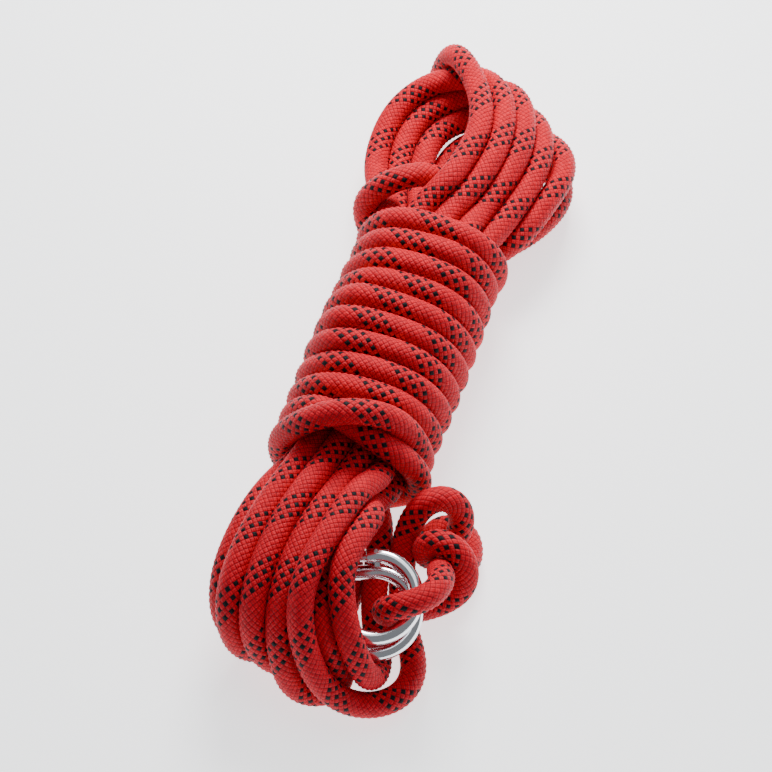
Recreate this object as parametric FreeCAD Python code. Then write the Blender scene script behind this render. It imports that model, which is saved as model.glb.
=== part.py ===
import FreeCAD, Part
import math
import os

# A short dynamic climbing rope, flaked into a hank, wrapped round its waist and carrying two
# screw-lock carabiners on a knotted end loop. Millimetres. The hank lies on the floor (z = 0)
# along Y, and the origin is on the floor under the middle of the wrapped waist.

V = FreeCAD.Vector
os.makedirs("parts", exist_ok=True)

# ---- rope and hank ----
ROPE_D = 11.0                 # diameter of the dynamic rope
ROPE_R = ROPE_D / 2
CORE_R = 4.1                  # twisted core bundle inside the woven sheath
GAP = 0.3                     # clearance between soft solids
WAIST_HALF = 66.0             # the wraps run from -WAIST_HALF to +WAIST_HALF along Y
WAIST_Z = 33.0                # height of the widest line of the wraps
WRAP_HALF_W = 34.0            # outer half width of the wraps
WRAP_TOP = 30.0               # outer half height above WAIST_Z
WRAP_BOTTOM = 33.6            # outer half height below it, cut flat where it lies on the floor
TOP_END = 168.0               # far end of the top bights
BIGHT_END = -143.0            # near end of the bottom bights

# ---- carabiner, in its own plane: u along its length, v across it, w normal to it ----
BAR_R = 3.1                   # radius of the bar the bow is bent from
WIDE_R = 17.0                 # centre-line radius of the wide end
NARROW_R = 8.0                # centre-line radius of the narrow end
NARROW_U = -40.0              # centre of the narrow end along u
HINGE_U = -37.0               # gate hinge
NOSE_U = -2.5                 # face where the gate meets the nose
NECK_R = 2.45                 # gate between the screw thread and the nose
GATE_R = 3.0                  # gate behind the thread
THREAD_R = 3.12
THREAD_U = (-24.0, -9.5)
FORK_U = -33.5                # the gate's barrel turns into its hinge fork here
SLEEVE_U = (-20.0, -6.5)      # the screw sleeve, unlocked
SLEEVE_R = 4.3                # slim enough for the two stacked sleeves to pass each other
RING_R = 3.75                 # nylon friction ring in the sleeve's rear counterbore
RING_LENGTH = 2.0
TONGUE_W = 0.95               # half thickness of the gate's latch tongue
SLOT_W = 1.15                 # half width of the nose slot and the hinge slot
TANG_W = 1.0                  # half thickness of the bow's hinge tang
PIN_R = 0.8                   # latch pin across the nose slot
RIVET_R = 1.2                 # hinge rivet
RIVET_HEAD_R = 1.8            # and its two heads
KNURLS = 20                   # grooves round the screw sleeve
KNURL_R = 0.4
KNURL_AT = 4.4                # their centres' distance from the sleeve's axis

# Where each carabiner lies: the centre of its wide end, and its in-plane axes.
YAW, TILT, RISE = math.radians(19.7), math.radians(14.0), math.radians(5.0)
STACK = 8.8                   # distance between the two carabiners' planes
UPPER_CENTRE = V(33.0, -108.0, 36.0)
LOWER_SHIFT = (-1.0, -5.0)    # of the lower one, along the upper one's u and v
LOWER_TURN = -25.0            # degrees in its own plane
LOOP_AT = (5.0, -5.0)         # where the rope loop passes through, in the upper one's u and v
LOOP_CLEAR = 9.8              # the loop's height over the carabiners' planes as it turns


def export(shape, node):
    """Writes one node's STEP file."""
    shape.exportStep("parts/" + node + ".step")
    print(node, "valid", shape.isValid(), "solids", len(shape.Solids), "cm3", round(shape.Volume / 1000, 3))


def unit(vector):
    return vector * (1.0 / vector.Length)


def frame(u_axis, v_hint, origin):
    """The placement that carries a carabiner's own u, v, w axes to the hank's frame."""
    u = unit(u_axis)
    v = unit(v_hint - u * u.dot(v_hint))
    w = u.cross(v)
    matrix = FreeCAD.Matrix(u.x, v.x, w.x, origin.x, u.y, v.y, w.y, origin.y,
                            u.z, v.z, w.z, origin.z, 0, 0, 0, 1)
    return FreeCAD.Placement(matrix)


def carabiner_frames():
    along = V(math.cos(YAW) * math.cos(RISE), math.sin(YAW) * math.cos(RISE), math.sin(RISE))
    across = V(-math.sin(YAW) * math.cos(TILT), math.cos(YAW) * math.cos(TILT), math.sin(TILT))
    upper = frame(along, across, UPPER_CENTRE)
    turn = math.radians(LOWER_TURN)
    centre = upper.multVec(V(LOWER_SHIFT[0], LOWER_SHIFT[1], -STACK))
    u = upper.Rotation.multVec(V(math.cos(turn), math.sin(turn), 0))
    v = upper.Rotation.multVec(V(-math.sin(turn), math.cos(turn), 0))
    return upper, frame(u, v * -1, centre)    # the lower one is turned over: its gate faces the other way


# ---------------------------------------------------------------- rope solids

def half_ellipses(half_w, top, bottom, y):
    """Face across Y: a half ellipse above WAIST_Z and another below it."""
    centre = V(0, y, WAIST_Z)
    left, right = V(-half_w, y, WAIST_Z), V(half_w, y, WAIST_Z)
    edges = []
    for reach, first, last in ((top, right, left), (-bottom, left, right)):
        if half_w > abs(reach):
            ellipse = Part.Ellipse(right, centre + V(0, 0, reach), centre)
        else:
            ellipse = Part.Ellipse(centre + V(0, 0, reach), right, centre)
        start, end = ellipse.parameter(first), ellipse.parameter(last)
        arc = Part.ArcOfEllipse(ellipse, start, end)
        middle = arc.value((arc.FirstParameter + arc.LastParameter) / 2)
        if (middle.z - WAIST_Z) * reach < 0:
            arc = Part.ArcOfEllipse(ellipse, end, start)
        edges.append(arc.toShape())
    return Part.Face(Part.Wire(edges))


def waist_solid(inset):
    """The waist's outer shape, drawn in by inset all round."""
    face = half_ellipses(WRAP_HALF_W - inset, WRAP_TOP - inset, WRAP_BOTTOM - inset, -WAIST_HALF)
    return face.extrude(V(0, 2 * WAIST_HALF, 0))


def outline(points, straight, lift):
    """A face whose outline is one smooth curve through points, closed by straight corners."""
    curve = Part.BSplineCurve()
    curve.interpolate([lift(*p) for p in points])
    corners = [lift(*p) for p in [points[-1]] + straight + [points[0]]]
    edges = [curve.toShape()] + [Part.makeLine(a, b) for a, b in zip(corners, corners[1:])]
    return Part.Face(Part.Wire(edges))


def bights(plan, side, side_straight):
    """The outer shape of a fan of bights: its plan (x, y) and its side profile (y, z) together."""
    above = outline(plan, [], lambda x, y: V(x, y, -5)).extrude(V(0, 0, 80))
    beside = outline(side, side_straight, lambda y, z: V(-80, y, z)).extrude(V(160, 0, 0))
    return above.common(beside).removeSplitter()


def top_bights():
    start = WAIST_HALF + GAP
    plan = [(-30, start), (-41, 90), (-47, 120), (-42, 148), (-25, 165), (0, 166),
            (22, 155), (41, 138), (47, 118), (43, 92), (30, start)]
    side = [(start, 54), (100, 56), (140, 53), (160, 46), (TOP_END, 30), (160, 8), (150, 0)]
    return bights(plan, side, [(95, 0), (start, 12)])


def bottom_bights_front():
    start = -WAIST_HALF - GAP
    plan = [(-26, start), (-33, -90), (-35, -115), (-31, -134), (-12, BIGHT_END), (8, BIGHT_END),
            (26, -140), (33, -125), (34, -95), (32, start)]
    side = [(start, 57), (-90, 62), (-116, 59), (-135, 48), (BIGHT_END, 30), (BIGHT_END, 12.5)]
    return bights(plan, side, [(-134, 12.5), (-132, 28), (-124, 42), (-106, 47.5), (start, 47.5)])


def bottom_bights_return():
    start = -WAIST_HALF - GAP
    plan = [(-16, start), (-17, -84), (-28, -95), (-33, -115), (-28, -134), (-5, BIGHT_END),
            (25, BIGHT_END), (50, BIGHT_END), (60, -128), (58, -112), (38, -98), (30, -84), (24, start)]
    side = [(BIGHT_END, 12.2), (-100, 11.5), (-82, 24), (start, 44)]
    return bights(plan, side, [(start, 12), (-82, 0), (BIGHT_END, 0)])


def rope_knot():
    block = Part.makeBox(28, 32, 46, V(42, -86, 1.0))
    return block.makeFillet(8.0, block.Edges)


def rounded_path(points):
    """Straight runs joined by tangent arcs, each as large as its two runs allow."""
    edges, here = [], points[0]
    for before, corner, after in zip(points, points[1:], points[2:]):
        a, b = unit(before - corner), unit(after - corner)
        half_turn = (math.pi - a.getAngle(b)) / 2
        cut = 0.45 * min((before - corner).Length, (after - corner).Length)
        radius = cut / math.tan(half_turn)
        centre = corner + unit(a + b) * (radius / math.cos(half_turn))
        start, end = corner + a * cut, corner + b * cut
        middle = centre + unit(corner - centre) * radius
        edges += [Part.LineSegment(here, start).toShape(), Part.Arc(start, middle, end).toShape()]
        here = end
        print("  bend radius", round(radius, 1))
    edges.append(Part.LineSegment(here, points[-1]).toShape())
    return Part.Wire(edges)


def tube(path, radius, hollow=0.0):
    """A round bar, or a tube, along a path."""
    start = path.Edges[0].valueAt(path.Edges[0].FirstParameter)
    along = path.Edges[0].tangentAt(path.Edges[0].FirstParameter)
    solid = path.makePipeShell([Part.Wire([Part.makeCircle(radius, start, along)])], True, False)
    print("  volume over section x length", round(solid.Volume / (math.pi * radius ** 2 * path.Length), 4))
    if hollow:
        solid = solid.cut(path.makePipeShell([Part.Wire([Part.makeCircle(hollow, start, along)])], True, False))
    return solid


def loop_path(upper):
    """The end loop: out of the knot, over both wide ends, down through them and back underneath."""
    at_u, at_v = LOOP_AT
    over = upper.multVec(V(at_u, at_v, LOOP_CLEAR))
    under = upper.multVec(V(at_u, at_v, -STACK - LOOP_CLEAR))
    reach = V(21, 7, 0)
    return rounded_path([V(64, -86, over.z - 6), over + reach, over, under, under + reach,
                         V(64, -86, under.z - 2)])


def end_tail():
    """The rope's free end under the last wrap, in a crimped metal cap."""
    start, cap_start, end = V(-22.0, -66.3, 24.5), V(-24.5, -70.0, 24.5), V(-30.0, -79.0, 24.5)
    along = unit(end - cap_start)
    rope = Part.makeCylinder(ROPE_R, (end - start).Length - 1.2, start, unit(end - start))
    rope = rope.cut(Part.makeBox(60, 20, 60, V(-60, -66.2, 0)))
    cap = Part.makeCylinder(6.3, (end - cap_start).Length, cap_start, along)
    cap = cap.makeFillet(0.8, [cap.Edges[0], cap.Edges[2]])
    return rope, cap.cut(rope)


# ---------------------------------------------------------------- carabiner solids

def rod(radius, u0, u1):
    """A round bar along the gate's line."""
    return Part.makeCylinder(radius, u1 - u0, V(u0, WIDE_R, 0), V(1, 0, 0))


def cross_pin(radius, half_length, u, v):
    return Part.makeCylinder(radius, 2 * half_length, V(u, v, -half_length), V(0, 0, 1))


def slab(u0, u1, v0, v1, half_w):
    return Part.makeBox(u1 - u0, v1 - v0, 2 * half_w, V(u0, v0, -half_w))


def bow():
    """The bent bar: slotted nose, wide end, sloping spine, narrow end and the flat hinge tang."""
    rise = math.asin((WIDE_R - NARROW_R) / math.hypot(NARROW_U, WIDE_R - NARROW_R))
    spine = -math.pi / 2 - 2 * rise           # direction from each end's centre to the spine
    narrow = V(NARROW_U, WIDE_R - NARROW_R, 0)

    def on(centre, radius, angle):
        return centre + V(math.cos(angle), math.sin(angle), 0) * radius

    middle = (spine - 3 * math.pi / 2) / 2
    points = [V(NOSE_U, WIDE_R, 0), V(0, WIDE_R, 0), on(V(), WIDE_R, spine), on(narrow, NARROW_R, spine),
              on(narrow, NARROW_R, math.pi / 2)]
    path = Part.Wire([
        Part.LineSegment(points[0], points[1]).toShape(),
        Part.Arc(points[1], on(V(), WIDE_R, (math.pi / 2 + spine) / 2), points[2]).toShape(),
        Part.LineSegment(points[2], points[3]).toShape(),
        Part.Arc(points[3], on(narrow, NARROW_R, middle), points[4]).toShape()])
    bar = tube(path, BAR_R)
    tang = slab(NARROW_U - 0.2, HINGE_U, WIDE_R - 2.4, WIDE_R + 2.4, TANG_W)
    tang = tang.fuse(cross_pin(2.4, TANG_W, HINGE_U, WIDE_R))
    bar = bar.fuse(tang).removeSplitter()
    bar = bar.cut(slab(NOSE_U - 1, 3.0, WIDE_R - 5, WIDE_R + 5, SLOT_W))
    bar = bar.cut(cross_pin(PIN_R, 4, 1.2, WIDE_R + 1.4))
    return bar.cut(cross_pin(RIVET_R, 4, HINGE_U, WIDE_R))


def gate():
    """Barrel with screw thread land, latch tongue at the nose and a fork over the bow's tang."""
    barrel = rod(NECK_R, THREAD_U[1], NOSE_U - 0.4)
    barrel = barrel.fuse(rod(THREAD_R, THREAD_U[0], THREAD_U[1]))
    barrel = barrel.fuse(rod(GATE_R, FORK_U - 0.8, THREAD_U[0]))
    tongue = slab(NOSE_U - 1.5, 2.5, WIDE_R - 2.2, WIDE_R + 0.3, TONGUE_W)
    heel = slab(0.4, 2.5, WIDE_R - 4.4, WIDE_R - 2.2, TONGUE_W)
    fork = rod(GATE_R, HINGE_U - 2.6, FORK_U - 0.8).common(slab(-50, FORK_U, WIDE_R - 4, WIDE_R + 4, 2.6))
    fork = fork.cut(slab(-50, HINGE_U, WIDE_R - 4, WIDE_R + 4, 4))
    fork = fork.fuse(cross_pin(2.6, 2.6, HINGE_U, WIDE_R))
    body = barrel.fuse([tongue, heel, fork]).removeSplitter()
    body = body.cut(slab(-50, HINGE_U + 2.8, WIDE_R - 5, WIDE_R + 5, SLOT_W))
    body = body.cut(rod(1.6, -36.0, -25.0))
    return body.cut(cross_pin(RIVET_R + 0.06, 4, HINGE_U, WIDE_R))


def sleeve():
    """Knurled screw sleeve: threaded land over the gate, and a wider mouth that passes the nose."""
    u0, u1 = SLEEVE_U
    body = rod(SLEEVE_R, u0, u1)
    body = body.makeFillet(0.35, [body.Edges[0], body.Edges[2]])
    body = body.cut(rod(3.2, u0, u1)).cut(rod(3.45, u1 - 7.0, u1)).cut(rod(RING_R + 0.05, u0, u0 + 2.3))
    for k in range(KNURLS):
        angle = 2 * math.pi * k / KNURLS
        groove = Part.makeCylinder(KNURL_R, u1 - u0 - 4.4, V(u0 + 2.2, 0, 0), V(1, 0, 0))
        groove.translate(V(0, WIDE_R + KNURL_AT * math.cos(angle), KNURL_AT * math.sin(angle)))
        body = body.cut(groove)
    return body


def gate_spring():
    """Closed-coil spring in the gate's bore, pressing the plunger on the tang."""
    turns, pitch, coil_r, wire_r = 6, 1.05, 1.2, 0.25
    helix = Part.makeHelix(pitch, turns * pitch, coil_r)
    section = Part.Wire([Part.makeCircle(wire_r, V(coil_r, 0, 0), V(0, 1, 0))])
    coil = Part.Wire(helix).makePipeShell([section], True, True)
    coil.Placement = FreeCAD.Placement(V(-31.7, WIDE_R, 0), FreeCAD.Rotation(V(0, 0, 1), V(1, 0, 0)))
    return coil


def carabiner(name, placement):
    ring_u0 = SLEEVE_U[0] + 0.1
    ring_u1 = ring_u0 + RING_LENGTH
    heads = [Part.makeCylinder(RIVET_HEAD_R, 0.6, V(HINGE_U, WIDE_R, low)) for low in (-3.3, 2.7)]
    rivet = cross_pin(RIVET_R, 3.0, HINGE_U, WIDE_R).fuse(heads).removeSplitter()
    plunger = rod(1.45, -33.4, -32.1).fuse(rod(0.8, -32.1, -30.5)).removeSplitter()
    pieces = {
        "bow": bow(),
        "gate": gate(),
        "hinge_rivet": rivet,
        "latch_pin": cross_pin(PIN_R, 2.7, 1.2, WIDE_R + 1.4),
        "gate_spring": gate_spring(),
        "spring_plunger": plunger,
        "screw_sleeve": sleeve(),
        "friction_ring": rod(RING_R, ring_u0, ring_u1).cut(rod(3.2, ring_u0, ring_u1)),
    }
    for piece, shape in pieces.items():
        shape.Placement = placement.multiply(shape.Placement)
        export(shape, name + "_" + piece)


upper_frame, lower_frame = carabiner_frames()

floor_cut = Part.makeBox(200, 400, 40, V(-100, -200, -40))
export(waist_solid(ROPE_D + GAP), "rope_waist_strands")
export(waist_solid(0).cut(waist_solid(ROPE_D)).cut(floor_cut), "rope_waist_wraps")
export(top_bights(), "rope_top_bights")
export(bottom_bights_front(), "rope_bottom_bights_front")
export(bottom_bights_return(), "rope_bottom_bights_return")
knot = rope_knot()
export(knot, "rope_knot")
loop = loop_path(upper_frame)
export(tube(loop, ROPE_R, CORE_R + 0.02).cut(knot), "rope_loop_sheath")
export(tube(loop, CORE_R).cut(knot), "rope_loop_core")
tail, cap = end_tail()
export(tail, "rope_end_tail")
export(cap, "rope_end_cap")

for label, where in (("upper_carabiner", upper_frame), ("lower_carabiner", lower_frame)):
    carabiner(label, where)
    for axis, direction in (("along", V(1, 0, 0)), ("across", V(0, 1, 0)), ("normal", V(0, 0, 1))):
        print("  ", label, axis, [round(c, 6) for c in where.Rotation.multVec(direction)])
    print("  ", label, "hinge", [round(c, 4) for c in where.multVec(V(HINGE_U, WIDE_R, 0))])
    print("  ", label, "gate line", [round(c, 4) for c in where.multVec(V(SLEEVE_U[0], WIDE_R, 0))])
print("  loop axis through the carabiners", [round(c, 4) for c in upper_frame.multVec(V(*LOOP_AT, 0))])
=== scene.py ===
import math

import bpy
import numpy as np
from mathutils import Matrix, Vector
from mathutils.bvhtree import BVHTree


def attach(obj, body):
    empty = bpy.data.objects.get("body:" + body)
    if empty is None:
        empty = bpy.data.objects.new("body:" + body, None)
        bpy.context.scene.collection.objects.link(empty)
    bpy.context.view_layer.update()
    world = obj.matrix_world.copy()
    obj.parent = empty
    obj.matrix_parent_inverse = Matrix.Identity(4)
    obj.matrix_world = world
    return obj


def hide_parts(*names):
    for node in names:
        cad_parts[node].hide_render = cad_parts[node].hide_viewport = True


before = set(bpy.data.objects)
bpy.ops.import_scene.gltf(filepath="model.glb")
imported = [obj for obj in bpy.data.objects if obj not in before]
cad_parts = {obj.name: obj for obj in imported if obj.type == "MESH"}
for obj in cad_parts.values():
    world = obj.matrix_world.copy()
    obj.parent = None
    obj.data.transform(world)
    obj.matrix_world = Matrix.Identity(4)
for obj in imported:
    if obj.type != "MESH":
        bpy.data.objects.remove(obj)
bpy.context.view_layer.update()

# A dynamic climbing rope flaked into a hank. The hank lies along Y on the floor, wrapped round its
# waist, with a knotted end loop through two screw-lock carabiners. Routes are in millimetres here,
# in the frame's axes, and are turned into metres by MM wherever they reach Blender.

MM = 0.001
ROPE_D = 11.0
ROPE_R = ROPE_D / 2
FLOOR_Z = 0.0

CAMERA_AT = (0.1710, -0.4794, 0.8938)
CAMERA_AIM = (0.0024, -0.0087, 0.0278)
LENS = 107.8
SENSOR = 36.0


# ---------------------------------------------------------------- camera

def make_camera():
    data = bpy.data.cameras.new("camera")
    data.lens = LENS
    data.sensor_width = SENSOR
    data.clip_start = 0.01
    camera = bpy.data.objects.new("camera", data)
    camera.location = CAMERA_AT
    towards = Vector(CAMERA_AIM) - camera.location
    camera.rotation_euler = towards.to_track_quat("-Z", "Y").to_euler()
    bpy.context.collection.objects.link(camera)
    bpy.context.scene.camera = camera


# ---------------------------------------------------------------- the rope's route

# Where each strand runs through the waist: (x, z).
SLOTS = {
    "a": (-11, 45), "b": (0, 46), "c": (11, 45),
    "d": (-17, 36), "e": (-5.7, 36), "f": (5.7, 36), "g": (17, 36),
    "h": (-17, 26.5), "i": (-5.7, 26), "j": (5.7, 26), "k": (17, 26.5),
    "l": (-6, 17), "m": (6, 17),
}

# The end knot, from the floor under it: round outside, up and through both carabiners, back and round over
# the front, then over the top and down to the floor again.
KNOT = [
    (41, -62, 6), (43, -54, 6), (49, -50, 6), (56, -53, 6), (60, -60, 7), (61, -68, 8), (60, -75, 12),
    (56, -79, 18), (53, -82, 26), (55, -86, 34), (58, -92, 40), (58, -99, 44),
    (56, -106, 46), (50, -112, 45), (44, -114, 41), (40, -112, 34), (39, -109, 25), (41, -105, 16),
    (48, -97, 12), (56, -92, 12), (61, -85, 19), (61, -80, 28), (57, -76, 36), (51, -74, 38),
    (45, -75, 34), (41, -77, 26), (41, -77, 16), (45, -73, 10), (51, -67, 12), (55, -61, 18),
    (55, -56, 26), (50, -54, 34), (44, -55, 38), (38, -59, 37), (35, -65, 31), (35, -71, 22), (36, -80, 13),
    (39, -90, 7),
]

# Bights at the near end, from the strand on top, round the end and back underneath.
NEAR_1 = [(-18, -64, 42), (-22, -74, 43), (-26, -88, 43), (-28, -102, 42), (-29, -114, 38), (-28, -125, 31),
          (-24, -133, 21), (-17, -134, 11), (-12, -124, 6), (-11, -107, 6), (-12, -90, 9), (-10, -74, 14)]
NEAR_2 = [(-13, -66, 48), (-16, -80, 50), (-20, -96, 51), (-22, -112, 51), (-21, -127, 48), (-19, -137, 40),
          (-14, -142, 28), (-8, -140, 16), (-2, -131, 7), (2, -116, 6), (1, -98, 6), (-1, -84, 9),
          (-4, -73, 17)]
NEAR_3 = [(-4, -66, 50), (-8, -78, 52), (-10, -93, 54), (-11, -108, 54), (-11, -122, 52), (-11, -133, 46),
          (-8, -141, 35), (-2, -143, 22), (6, -138, 10), (14, -126, 6), (18, -112, 6), (19, -97, 6),
          (13, -83, 12), (2, -71, 26)]
NEAR_4 = [(6, -66, 50), (4, -78, 52), (2, -90, 53), (0, -102, 53), (-1, -114, 53), (-1, -125, 50),
          (1, -135, 42), (4, -143, 31), (8, -147, 20), (14, -148, 12), (22, -147, 7), (29, -142, 7),
          (30, -135, 13), (27, -130, 22), (22, -126, 31), (16, -120, 38), (11, -109, 43), (9, -93, 40),
          (8, -78, 32), (7, -68, 27)]
NEAR_5 = [(41, -98, 6), (46, -106, 6), (53, -114, 6), (56, -122, 6), (56, -131, 7), (51, -139, 9),
          (43, -144, 12), (34, -147, 17), (25, -147, 26), (17, -142, 37), (12, -136, 46), (8, -128, 54),
          (7, -118, 59), (9, -107, 60), (12, -96, 59), (13, -84, 56), (13, -74, 51), (13, -64, 45)]
NEAR_6 = [(23, -62, 36), (23, -71, 44), (21, -81, 51), (19, -92, 56), (19, -103, 57), (20, -113, 55),
          (24, -122, 49), (29, -129, 39), (35, -133, 27), (41, -132, 16), (43, -124, 8), (37, -115, 7),
          (31, -107, 9), (28, -97, 12), (28, -87, 12), (28, -79, 14), (26, -71, 18), (20, -64, 23),
          (12, -59, 27)]

# Bights at the far end, from the strand on top, round the end and back underneath on the left.
FAR_1 = [(-11, 68, 44), (-8, 76, 45), (-2, 92, 48), (3, 110, 50), (1, 124, 50), (-5, 139, 48),
         (-13, 152, 44), (-22, 162, 38), (-30, 166, 28), (-33, 164, 17), (-32, 156, 8), (-30, 143, 6),
         (-28, 124, 6), (-24, 103, 6), (-17, 81, 11)]
FAR_2 = [(1, 68, 44), (4, 80, 43), (10, 96, 45), (13, 112, 46), (11, 128, 45), (5, 144, 42), (-4, 156, 37),
         (-15, 161, 31), (-27, 157, 27), (-37, 150, 24), (-44, 138, 22), (-46, 122, 20), (-42, 104, 20),
         (-34, 87, 26), (-25, 74, 33)]
FAR_3 = [(11, 68, 42), (15, 82, 38), (19, 100, 41), (21, 118, 42), (18, 136, 39), (11, 152, 34),
         (0, 161, 29), (-12, 158, 24), (-25, 152, 20), (-33, 142, 18), (-37, 127, 17), (-35, 110, 17),
         (-30, 92, 19), (-24, 76, 24)]
FAR_4 = [(18, 68, 34), (23, 80, 34), (28, 98, 36), (31, 117, 36), (28, 134, 33), (20, 149, 27),
         (7, 156, 20), (-8, 151, 16), (-20, 144, 14), (-26, 131, 13), (-25, 115, 14), (-20, 97, 19),
         (-12, 80, 29)]
FAR_5 = [(19, 68, 26), (29, 80, 29), (35, 96, 31), (41, 113, 30), (42, 127, 27), (34, 141, 22),
         (20, 149, 14), (3, 147, 9), (-12, 139, 8), (-16, 122, 8), (-15, 105, 8), (-12, 88, 13),
         (-8, 74, 20)]
FAR_6 = [(12, 68, 17), (24, 78, 19), (36, 94, 19), (42, 112, 16), (42, 126, 13), (34, 137, 9),
         (20, 140, 6), (5, 134, 6), (-3, 120, 6), (-4, 102, 6), (-1, 86, 11), (3, 74, 18)]

# The last strand leaves the bundle underneath and starts the wraps.
WRAP_START = [(6, -16, 16), (5, -28, 11), (1, -38, 7), (-9, -43, 5.5), (-20, -45, 9)]
# After the last wrap the rope comes round the side, over the bundle and down into the far bights' eye,
TUCK = [(-37, 70, 27), (-37, 75, 37), (-29, 79, 47), (-17, 84, 52), (-7, 89, 50), (1, 92, 43),
        (5, 88, 36), (6, 78, 34)]
# then back through the waist, and its free end comes out beside the near bights in a cap.
TAIL = [(-17, -58, 26), (-21.5, -65, 24.5), (-24.5, -70, 24.5)]

# The wraps round the waist.
WRAP_CENTRE_Z = 33.0
WRAP_HALF_W = 28.5
WRAP_UP = 24.8
WRAP_DOWN = 27.5
WRAP_PITCH = 11.0
FIRST_ENDS = [-44.0, -49.5, -55.0, -38.5]    # where the two crossed first turns pass the left and right sides
PLAIN_TURNS = 9
PLAIN_FROM = -33.0                           # where the plain turns begin
STEPS = 8                                    # route points in each half turn
CROSSING = 2                                 # the half turn that passes over the others,
CROSSING_LIFT = 9.0                          # and how much higher it lies
LAST_WIDER = 2.0                             # how much wider the last turn swings before the tuck,
WIDER_FROM = 0.3                             # from this share of its first half
WAIST_STATIONS = (-55, -28, 0, 28, 55)       # where along the waist a strand has its points


def waist(first, last="", up=True):
    """A strand's points through the waist, in its own slot or moving over to another."""
    start, end = np.array(SLOTS[first]), np.array(SLOTS[last or first])
    stations = WAIST_STATIONS if up else WAIST_STATIONS[::-1]
    runs = len(stations) - 1
    places = [start + (end - start) * k / runs for k in range(runs + 1)]
    return [(x, y, z) for (x, z), y in zip(places, stations)]


def wraps():
    """The turns round the waist, from its near end to its far end: left, over, right, and under."""
    ends = list(FIRST_ENDS)
    for turn in range(PLAIN_TURNS):
        ends += [PLAIN_FROM + WRAP_PITCH * turn, PLAIN_FROM + WRAP_PITCH * (turn + 0.5)]
    points = []
    for half, (here, there) in enumerate(zip(ends, ends[1:] + [ends[-1] + WRAP_PITCH / 2])):
        over = half % 2 == 0
        for step in range(STEPS):
            share = step / STEPS
            angle = math.pi * (1 - share) if over else -math.pi * share
            reach = WRAP_UP if over else WRAP_DOWN
            wide = WRAP_HALF_W + (LAST_WIDER if half == len(ends) - 2 and share > WIDER_FROM else 0.0)
            lift = CROSSING_LIFT * math.sin(angle) ** 2 if half == CROSSING else 0.0
            points.append((wide * math.cos(angle), here + (there - here) * share,
                           WRAP_CENTRE_Z + reach * math.sin(angle) + lift))
    return points[:-1]


# The whole rope in order, cut into lengths in the middle of the waist where nothing shows.
LENGTHS = {
    "rope_end_loop": KNOT + NEAR_5 + waist("g") + FAR_4 + waist("e", up=False)[:3],
    "rope_hank_1": (waist("e", up=False)[2:] + NEAR_3[::-1] + waist("b") + FAR_2
                    + waist("d", up=False) + NEAR_1 + waist("l")[:3]),
    "rope_hank_2": (waist("l")[2:] + FAR_1[::-1] + waist("a", up=False) + NEAR_2 + waist("i")
                    + FAR_5[::-1] + waist("k", up=False) + NEAR_6 + waist("f", "h")[:3]),
    "rope_hank_3": (waist("f", "h")[2:] + FAR_3[::-1] + waist("c", up=False) + NEAR_4 + waist("j")
                    + FAR_6[::-1] + waist("m", up=False)[:3]),
    "rope_wraps": (waist("m", up=False)[2:3] + WRAP_START + wraps() + TUCK
                   + waist("f", "h", up=False) + TAIL),
}


def nurbs_line(name, points):
    """The points read from a smooth curve through a route, both in millimetres."""
    data = bpy.data.curves.new(name, "CURVE")
    data.dimensions = "3D"
    spline = data.splines.new("NURBS")
    spline.points.add(len(points) - 1)
    for point, place in zip(spline.points, points):
        point.co = (*(float(c) * MM for c in place), 1.0)
    spline.order_u = 3
    spline.use_endpoint_u = True
    spline.resolution_u = 6
    curve = bpy.data.objects.new(name, data)
    mesh = bpy.data.meshes.new_from_object(curve)
    line = np.array([v.co for v in mesh.vertices]) / MM
    bpy.data.objects.remove(curve)
    bpy.data.curves.remove(data)
    bpy.data.meshes.remove(mesh)
    return line


def evenly(line, step):
    """The same line with points as near to step apart as its length allows."""
    along = np.concatenate([[0], np.cumsum(np.linalg.norm(np.diff(line, axis=0), axis=1))])
    at = np.linspace(0, along[-1], round(along[-1] / step) + 1)
    return np.stack([np.interp(at, along, line[:, k]) for k in range(3)], axis=1)


# ---------------------------------------------------------------- settling the rope

LINK = 4.5                # spacing of the rope's points while it settles
ROUNDS = 420
PAIRS_EVERY = 10          # rounds from one search for pairs to the next
PAIR_REACH = 1.35         # how far apart a pair may be, in diameters
NEAR_ALONG = 6            # points this close along the rope don't push each other
PRESS = 0.15              # how far two strands may press into each other
METAL_EVERY = 6           # rounds from one clearing of the carabiners to the next
METAL_GAP = 1.25          # room for the sleeves to slide under the rope
METAL_AT, METAL_REACH = -105.0, 45.0     # the stretch of Y that the carabiners lie in
SMOOTH = 0.8              # how much of a bend's roughness goes in one round
HOME_PULL, LATE_PULL = 0.02, 0.004       # share of the way back to its route that a point goes in one round
LATE = 0.7                # share of the rounds before the weaker pull
FLOOR_GAP = 0.1


def metal_tree():
    """The carabiners' surfaces, in millimetres."""
    verts, faces = [], []
    for name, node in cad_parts.items():
        if "carabiner" in name and name.endswith(("bow", "gate", "sleeve")):
            start = len(verts)
            verts += [v.co / MM for v in node.data.vertices]
            faces += [[start + i for i in face.vertices] for face in node.data.polygons]
    return BVHTree.FromPolygons(verts, faces)


def near_pairs(points, reach):
    """Pairs of points from different places along the rope that are within reach."""
    square = (points ** 2).sum(1)
    apart = square[:, None] + square[None, :] - 2 * points @ points.T
    i, j = np.nonzero(apart < reach ** 2)
    keep = j - i > NEAR_ALONG
    return i[keep], j[keep]


def clear_metal(points, metal):
    """Moves the points that lie too near the carabiners straight out from their surface."""
    for k in np.nonzero(np.abs(points[:, 1] - METAL_AT) < METAL_REACH)[0]:
        here = Vector(points[k])
        place, normal, _, away = metal.find_nearest(here)
        inside = (here - place).dot(normal) < 0
        short = ROPE_R + METAL_GAP - (-away if inside else away)
        if short > 0:
            points[k] += np.array(normal if inside else (here - place).normalized()) * short


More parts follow.
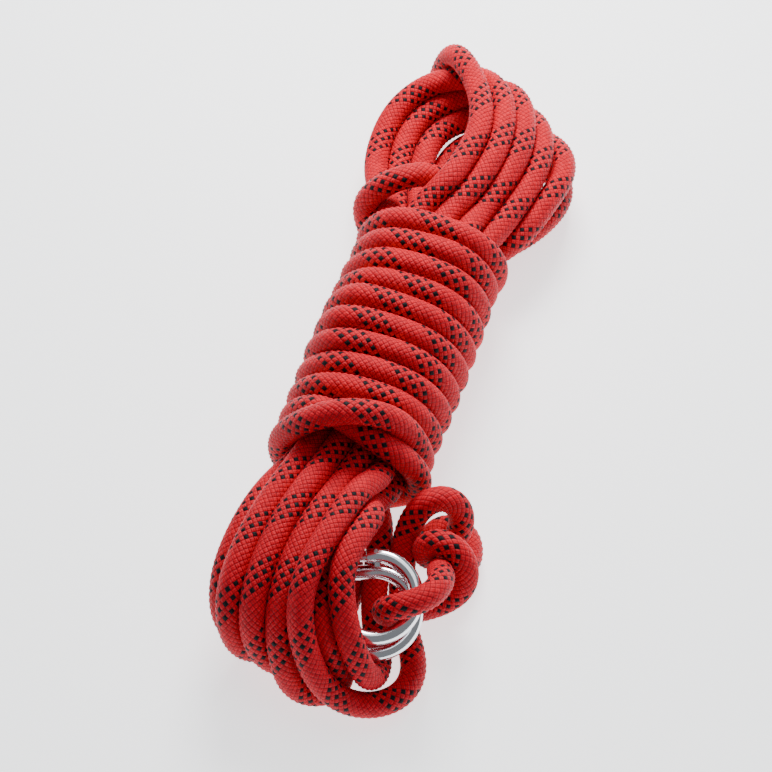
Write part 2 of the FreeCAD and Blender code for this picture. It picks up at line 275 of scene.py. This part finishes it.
def settle(points, metal):
    """Strands push each other apart, off the carabiners and the floor, and stay smooth near their route."""
    home, points = points, points.copy()
    for step in range(ROUNDS):
        if step % PAIRS_EVERY == 0:
            i, j = near_pairs(points, ROPE_D * PAIR_REACH)
        move, count = np.zeros_like(points), np.zeros(len(points))
        gap = points[i] - points[j]
        far = np.linalg.norm(gap, axis=1)
        deep = np.maximum(ROPE_D - PRESS - far, 0)
        push = gap / np.maximum(far, 1e-6)[:, None] * deep[:, None] * 0.5
        for index, sign in ((i, 1), (j, -1)):
            np.add.at(move, index, sign * push)
            np.add.at(count, index, deep > 0)
        points += move / np.sqrt(np.maximum(count, 1))[:, None]
        if step % METAL_EVERY == 0:
            clear_metal(points, metal)
        fourth = points[:-4] - 4 * points[1:-3] + 6 * points[2:-2] - 4 * points[3:-1] + points[4:]
        points[2:-2] -= fourth / 16 * SMOOTH
        points += (home - points) * (HOME_PULL if step < ROUNDS * LATE else LATE_PULL)
        points[:, 2] = np.maximum(points[:, 2], ROPE_R + FLOOR_Z + FLOOR_GAP)
    return points


# ---------------------------------------------------------------- the woven sheath

YARNS = 12                    # pairs of yarns each way round the sheath
LEAD = 30.4                   # rope length in which a yarn goes once round
COLUMNS = 2 * YARNS
RING_STEP = LEAD / COLUMNS
RELIEF = 0.19                 # how far a pair's crown stands over the mean surface


def carried_frames(line):
    """Directions across the line that turn no more than it does: two unit vectors at each point."""
    tangent = np.gradient(line, axis=0)
    tangent /= np.linalg.norm(tangent, axis=1)[:, None]
    across = np.zeros_like(line)
    start = np.cross(tangent[0], (0.0, 0.0, 1.0))
    across[0] = start / np.linalg.norm(start)
    for k in range(1, len(line)):
        side = across[k - 1] - tangent[k] * across[k - 1].dot(tangent[k])
        across[k] = side / np.linalg.norm(side)
    return across, np.cross(tangent, across)


def rope_mesh(name, line, first_ring, across, up):
    """A tube with a crown on each yarn, and a UV layer that counts half pairs round and along it."""
    rings, turns = np.arange(len(line)), np.arange(COLUMNS)
    angle = 2 * math.pi * turns / COLUMNS
    crown = np.where((rings[:, None] + first_ring + turns[None, :]) % 2, RELIEF, -RELIEF)
    radius = ROPE_R - RELIEF / 2 + crown
    verts = (line[:, None, :] + radius[..., None] * (np.cos(angle)[None, :, None] * across[:, None, :]
                                                     + np.sin(angle)[None, :, None] * up[:, None, :]))
    verts = verts.reshape(-1, 3) * MM
    ring, turn = np.meshgrid(rings[:-1], turns, indexing="ij")
    beside = (turn + 1) % COLUMNS
    faces = np.stack([ring * COLUMNS + turn, ring * COLUMNS + beside,
                      (ring + 1) * COLUMNS + beside, (ring + 1) * COLUMNS + turn], axis=-1).reshape(-1, 4)
    ends = [len(verts), len(verts) + 1]
    verts = np.vstack([verts, line[[0, -1]] * MM])
    last = (len(line) - 1) * COLUMNS
    edges = [(int(here), int(there)) for here, there in zip(turns, (turns + 1) % COLUMNS)]
    caps = [(ends[0], there, here) for here, there in edges]
    caps += [(ends[1], last + here, last + there) for here, there in edges]
    mesh = bpy.data.meshes.new(name)
    mesh.from_pydata(verts.tolist(), [], faces.tolist() + caps)
    layer = mesh.uv_layers.new(name="weave")
    around = np.stack([turn, turn + 1, turn + 1, turn], axis=-1).reshape(-1, 4)
    along = np.stack([ring, ring, ring + 1, ring + 1], axis=-1).reshape(-1, 4) + first_ring
    corners = np.stack([around, along], axis=-1).reshape(-1, 2).astype(float)
    corners = np.vstack([corners, np.zeros((3 * len(caps), 2))])
    layer.uv.foreach_set("vector", corners.ravel())
    mesh.polygons.foreach_set("use_smooth", [True] * len(mesh.polygons))
    mesh.update()
    piece = bpy.data.objects.new(name, mesh)
    bpy.context.collection.objects.link(piece)
    return piece


# ---------------------------------------------------------------- materials

class Nodes:
    """Short calls for building one material's nodes."""

    def __init__(self, name):
        self.material = bpy.data.materials.new(name)
        self.material.use_nodes = True
        self.tree = self.material.node_tree
        self.tree.nodes.clear()
        self.shader = self.add("ShaderNodeBsdfPrincipled")
        output = self.add("ShaderNodeOutputMaterial")
        self.tree.links.new(self.shader.outputs["BSDF"], output.inputs["Surface"])

    def add(self, kind, **settings):
        node = self.tree.nodes.new(kind)
        for key, value in settings.items():
            setattr(node, key, value)
        return node

    def put(self, socket, value):
        if isinstance(value, bpy.types.NodeSocket):
            self.tree.links.new(value, socket)
        else:
            socket.default_value = value

    def math(self, operation, *values):
        node = self.add("ShaderNodeMath", operation=operation)
        for socket, value in zip(node.inputs, values):
            self.put(socket, value)
        return node.outputs[0]

    def mix(self, share, first, second, blend="MIX"):
        node = self.add("ShaderNodeMix", data_type="RGBA", blend_type=blend)
        self.put(node.inputs[0], share)
        self.put(node.inputs[6], first)
        self.put(node.inputs[7], second)
        return node.outputs[2]

    def noise(self, scale, detail=4.0):
        node = self.add("ShaderNodeTexNoise")
        node.inputs["Scale"].default_value = scale
        node.inputs["Detail"].default_value = detail
        self.put(node.inputs["Vector"], self.add("ShaderNodeTexCoord").outputs["Object"])
        return node.outputs[0]

    def ramp(self, value, low, high, start, end):
        node = self.add("ShaderNodeMapRange")
        for socket, number in zip(node.inputs, (value, low, high, start, end)):
            self.put(socket, number)
        return node.outputs[0]

    def bump(self, height, strength, distance):
        node = self.add("ShaderNodeBump")
        node.inputs["Strength"].default_value = strength
        node.inputs["Distance"].default_value = distance
        self.put(node.inputs["Height"], height)
        self.put(self.shader.inputs["Normal"], node.outputs[0])

    def constants(self, **sockets):
        for key, value in sockets.items():
            self.shader.inputs[key.replace("_", " ")].default_value = value


RED = (0.86, 0.0, 0.018, 1)
DEEP_RED = (0.52, 0.0, 0.008, 1)
TRACER = (0.0015, 0.0015, 0.004, 1)
TRACER_YARNS = (0, 2, 4)
FILAMENTS = 8                 # filaments that show across a yarn, as bumps and painted shade lines
SPLIT = 0.11                  # width of the groove and painted shade line between a pair's two yarns, in pairs
WORLD_LIGHT = 0.22


def sheath_material():
    """Woven nylon: floats of two yarns both ways, three dark tracer pairs, filaments, and painted shade in
    the hollows and grooves.
    """
    n = Nodes("woven_sheath")
    place = n.add("ShaderNodeSeparateXYZ")
    n.put(place.inputs[0], n.add("ShaderNodeUVMap", uv_map="weave").outputs[0])
    around, along = place.outputs[0], place.outputs[1]
    right = n.math("MULTIPLY", n.math("SUBTRACT", around, along), 0.5)
    left = n.math("MULTIPLY", n.math("ADD", around, along), 0.5)
    right_yarn, left_yarn = n.math("FLOOR", right), n.math("FLOOR", left)
    on_top = n.math("FLOORED_MODULO", n.math("ADD", right_yarn, left_yarn), 2.0)
    yarn = n.math("FLOORED_MODULO", right_yarn, float(YARNS))
    dark = None
    for index in TRACER_YARNS:
        this = n.math("COMPARE", yarn, float(index), 0.25)
        dark = this if dark is None else n.math("ADD", dark, this)
    dark = n.math("MULTIPLY", dark, n.math("SUBTRACT", 1.0, on_top))
    across = n.math("SUBTRACT", n.math("FRACT", right), 0.5)
    lengthwise = n.math("SUBTRACT", n.math("FRACT", left), 0.5)
    crown = n.math("MULTIPLY", n.math("COSINE", n.math("MULTIPLY", across, math.pi)),
                   n.math("COSINE", n.math("MULTIPLY", lengthwise, math.pi)))
    crown = n.math("POWER", n.math("MAXIMUM", crown, 0.0), 0.5)
    side = n.math("ADD", n.math("MULTIPLY", across, n.math("SUBTRACT", 1.0, on_top)),
                  n.math("MULTIPLY", lengthwise, on_top))
    split = n.ramp(n.math("ABSOLUTE", side), 0.0, SPLIT, 0.0, 1.0)
    filament = n.math("SINE", n.math("MULTIPLY", side, 2 * math.pi * FILAMENTS))
    cell = n.add("ShaderNodeCombineXYZ")
    n.put(cell.inputs[0], yarn)
    n.put(cell.inputs[1], n.math("SUBTRACT", left_yarn, right_yarn))
    chance = n.add("ShaderNodeTexWhiteNoise", noise_dimensions="2D")
    n.put(chance.inputs["Vector"], cell.outputs[0])
    # Painted shade: each float is darkened towards its edges, where the hollows between floats lie; the crown
    # also shapes the bump.
    shade = n.ramp(crown, 0.0, 0.65, 0.3, 1.0)
    # Random tone from float to float, the nylon's own colour.
    shade = n.math("MULTIPLY", shade, n.ramp(chance.outputs[0], 0.0, 1.0, 0.84, 1.08))
    # Painted shade: faint darker lines between the filaments of a yarn.
    shade = n.math("MULTIPLY", shade, n.ramp(filament, -1.0, 1.0, 0.94, 1.03))
    # Painted shade: a darker line along the groove between a pair's two yarns.
    shade = n.math("MULTIPLY", shade, n.ramp(split, 0.0, 1.0, 0.62, 1.0))
    red = n.mix(n.noise(60.0), RED, DEEP_RED)
    red = n.mix(0.55, red, RED)
    colour = n.mix(dark, red, TRACER)
    grey = n.add("ShaderNodeCombineColor")
    for socket in grey.inputs[:3]:
        n.put(socket, shade)
    # The painted shade and random tone are multiplied into the base colour.
    n.put(n.shader.inputs["Base Color"], n.mix(1.0, colour, grey.outputs[0], "MULTIPLY"))
    n.put(n.shader.inputs["Roughness"], n.ramp(n.noise(900.0), 0.3, 0.7, 0.5, 0.68))
    n.constants(Sheen_Weight=0.08, Sheen_Roughness=0.35, Sheen_Tint=(1.0, 0.45, 0.5, 1),
                Specular_IOR_Level=0.22)
    fine = n.math("ADD", n.math("MULTIPLY", filament, 0.05), n.math("MULTIPLY", split, 0.25))
    n.bump(n.math("ADD", crown, fine), 0.9, 0.00035)
    return n.material


def chrome_material(name, colour, roughness, scratch):
    """Plated steel with a slight orange peel and fine handling marks."""
    n = Nodes(name)
    n.constants(Metallic=1.0, Base_Color=colour)
    marks = n.noise(1400.0, 8.0)
    n.put(n.shader.inputs["Roughness"], n.ramp(marks, 0.35, 0.75, roughness, roughness + scratch))
    n.bump(n.noise(420.0, 3.0), 0.06, 0.0002)
    return n.material


def plain_material(name, colour, roughness, metallic=0.0):
    """A moulded or turned surface with faint mottling and grain."""
    n = Nodes(name)
    n.constants(Metallic=metallic)
    lighter = tuple(min(1.0, c * 1.35 + 0.01) for c in colour[:3]) + (1,)
    n.put(n.shader.inputs["Base Color"], n.mix(n.noise(300.0), colour, lighter))
    n.put(n.shader.inputs["Roughness"], n.ramp(n.noise(900.0), 0.3, 0.7, roughness, roughness + 0.12))
    n.bump(n.noise(1500.0), 0.15, 0.0002)
    return n.material


def floor_material():
    n = Nodes("pale_floor")
    pale = n.mix(n.noise(2.0), (0.93, 0.94, 0.96, 1), (0.96, 0.965, 0.975, 1))
    n.put(n.shader.inputs["Base Color"], pale)
    n.constants(Roughness=0.7, Emission_Color=(0.97, 0.985, 1.0, 1), Emission_Strength=1.6)
    return n.material


# ---------------------------------------------------------------- building

def build_rope():
    """Settles the whole rope at once, then weaves each of its lengths."""
    routes = [nurbs_line(name, points) for name, points in LENGTHS.items()]
    whole = evenly(np.vstack([routes[0]] + [route[1:] for route in routes[1:]]), LINK)
    whole = settle(whole, metal_tree())
    line = evenly(nurbs_line("settled", whole), RING_STEP)
    runs = np.cumsum([np.linalg.norm(np.diff(route, axis=0), axis=1).sum() for route in routes])
    cuts = [whole[round(run / runs[-1] * (len(whole) - 1))] for run in runs[:-1]]
    marks = [0] + [int(np.linalg.norm(line - cut, axis=1).argmin()) for cut in cuts] + [len(line) - 1]
    across, up = carried_frames(line)
    material = sheath_material()
    pieces = []
    for name, first, last in zip(LENGTHS, marks, marks[1:]):
        part = slice(first, last + 1)
        piece = rope_mesh(name, line[part], first, across[part], up[part])
        piece.data.materials.append(material)
        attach(piece, "rope")
        pieces.append((piece, line[part] * MM))
    return pieces


def paint_carabiners():
    bow = chrome_material("polished_steel", (0.90, 0.92, 0.96, 1), 0.12, 0.10)
    sleeve = chrome_material("sleeve_steel", (0.70, 0.74, 0.80, 1), 0.14, 0.14)
    steel = plain_material("pin_steel", (0.50, 0.51, 0.53, 1), 0.28, 1.0)
    nylon = plain_material("friction_nylon", (0.02, 0.02, 0.024, 1), 0.45)
    cap = chrome_material("end_cap_metal", (0.72, 0.72, 0.74, 1), 0.2, 0.15)
    kinds = {"bow": bow, "gate": bow, "sleeve": sleeve, "ring": nylon, "cap": cap}
    for name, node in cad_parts.items():
        if name.startswith("rope") and name != "rope_end_cap":
            continue
        node.data.materials.clear()
        node.data.materials.append(kinds.get(name.split("_")[-1], steel))


def light_and_floor():
    bpy.ops.mesh.primitive_plane_add(size=6.0, location=(0, 0, FLOOR_Z))
    floor = bpy.context.object
    floor.name = "floor"
    floor.data.materials.append(floor_material())
    for name, place, size, power, colour in (
            ("key", (-0.10, 0.42, 0.46), 0.28, 6.2, (1.0, 0.99, 0.98)),
            ("top", (0.10, 0.40, 0.95), 0.9, 3.6, (0.96, 0.98, 1.0))):
        data = bpy.data.lights.new(name, "AREA")
        data.size, data.energy, data.color = size, power, colour
        lamp = bpy.data.objects.new(name, data)
        lamp.location = place
        lamp.rotation_euler = (-Vector(place)).to_track_quat("-Z", "Y").to_euler()
        bpy.context.collection.objects.link(lamp)
    world = bpy.data.worlds.new("studio")
    world.use_nodes = True
    world.node_tree.nodes["Background"].inputs[0].default_value = (0.93, 0.96, 1.0, 1)
    world.node_tree.nodes["Background"].inputs[1].default_value = WORLD_LIGHT
    bpy.context.scene.world = world


make_camera()
rope = build_rope()
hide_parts("rope_knot", "rope_loop_sheath", "rope_loop_core")
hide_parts("rope_bottom_bights_front", "rope_bottom_bights_return")
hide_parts("rope_top_bights")
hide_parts("rope_waist_strands")
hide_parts("rope_waist_wraps", "rope_end_tail")
paint_carabiners()
light_and_floor()
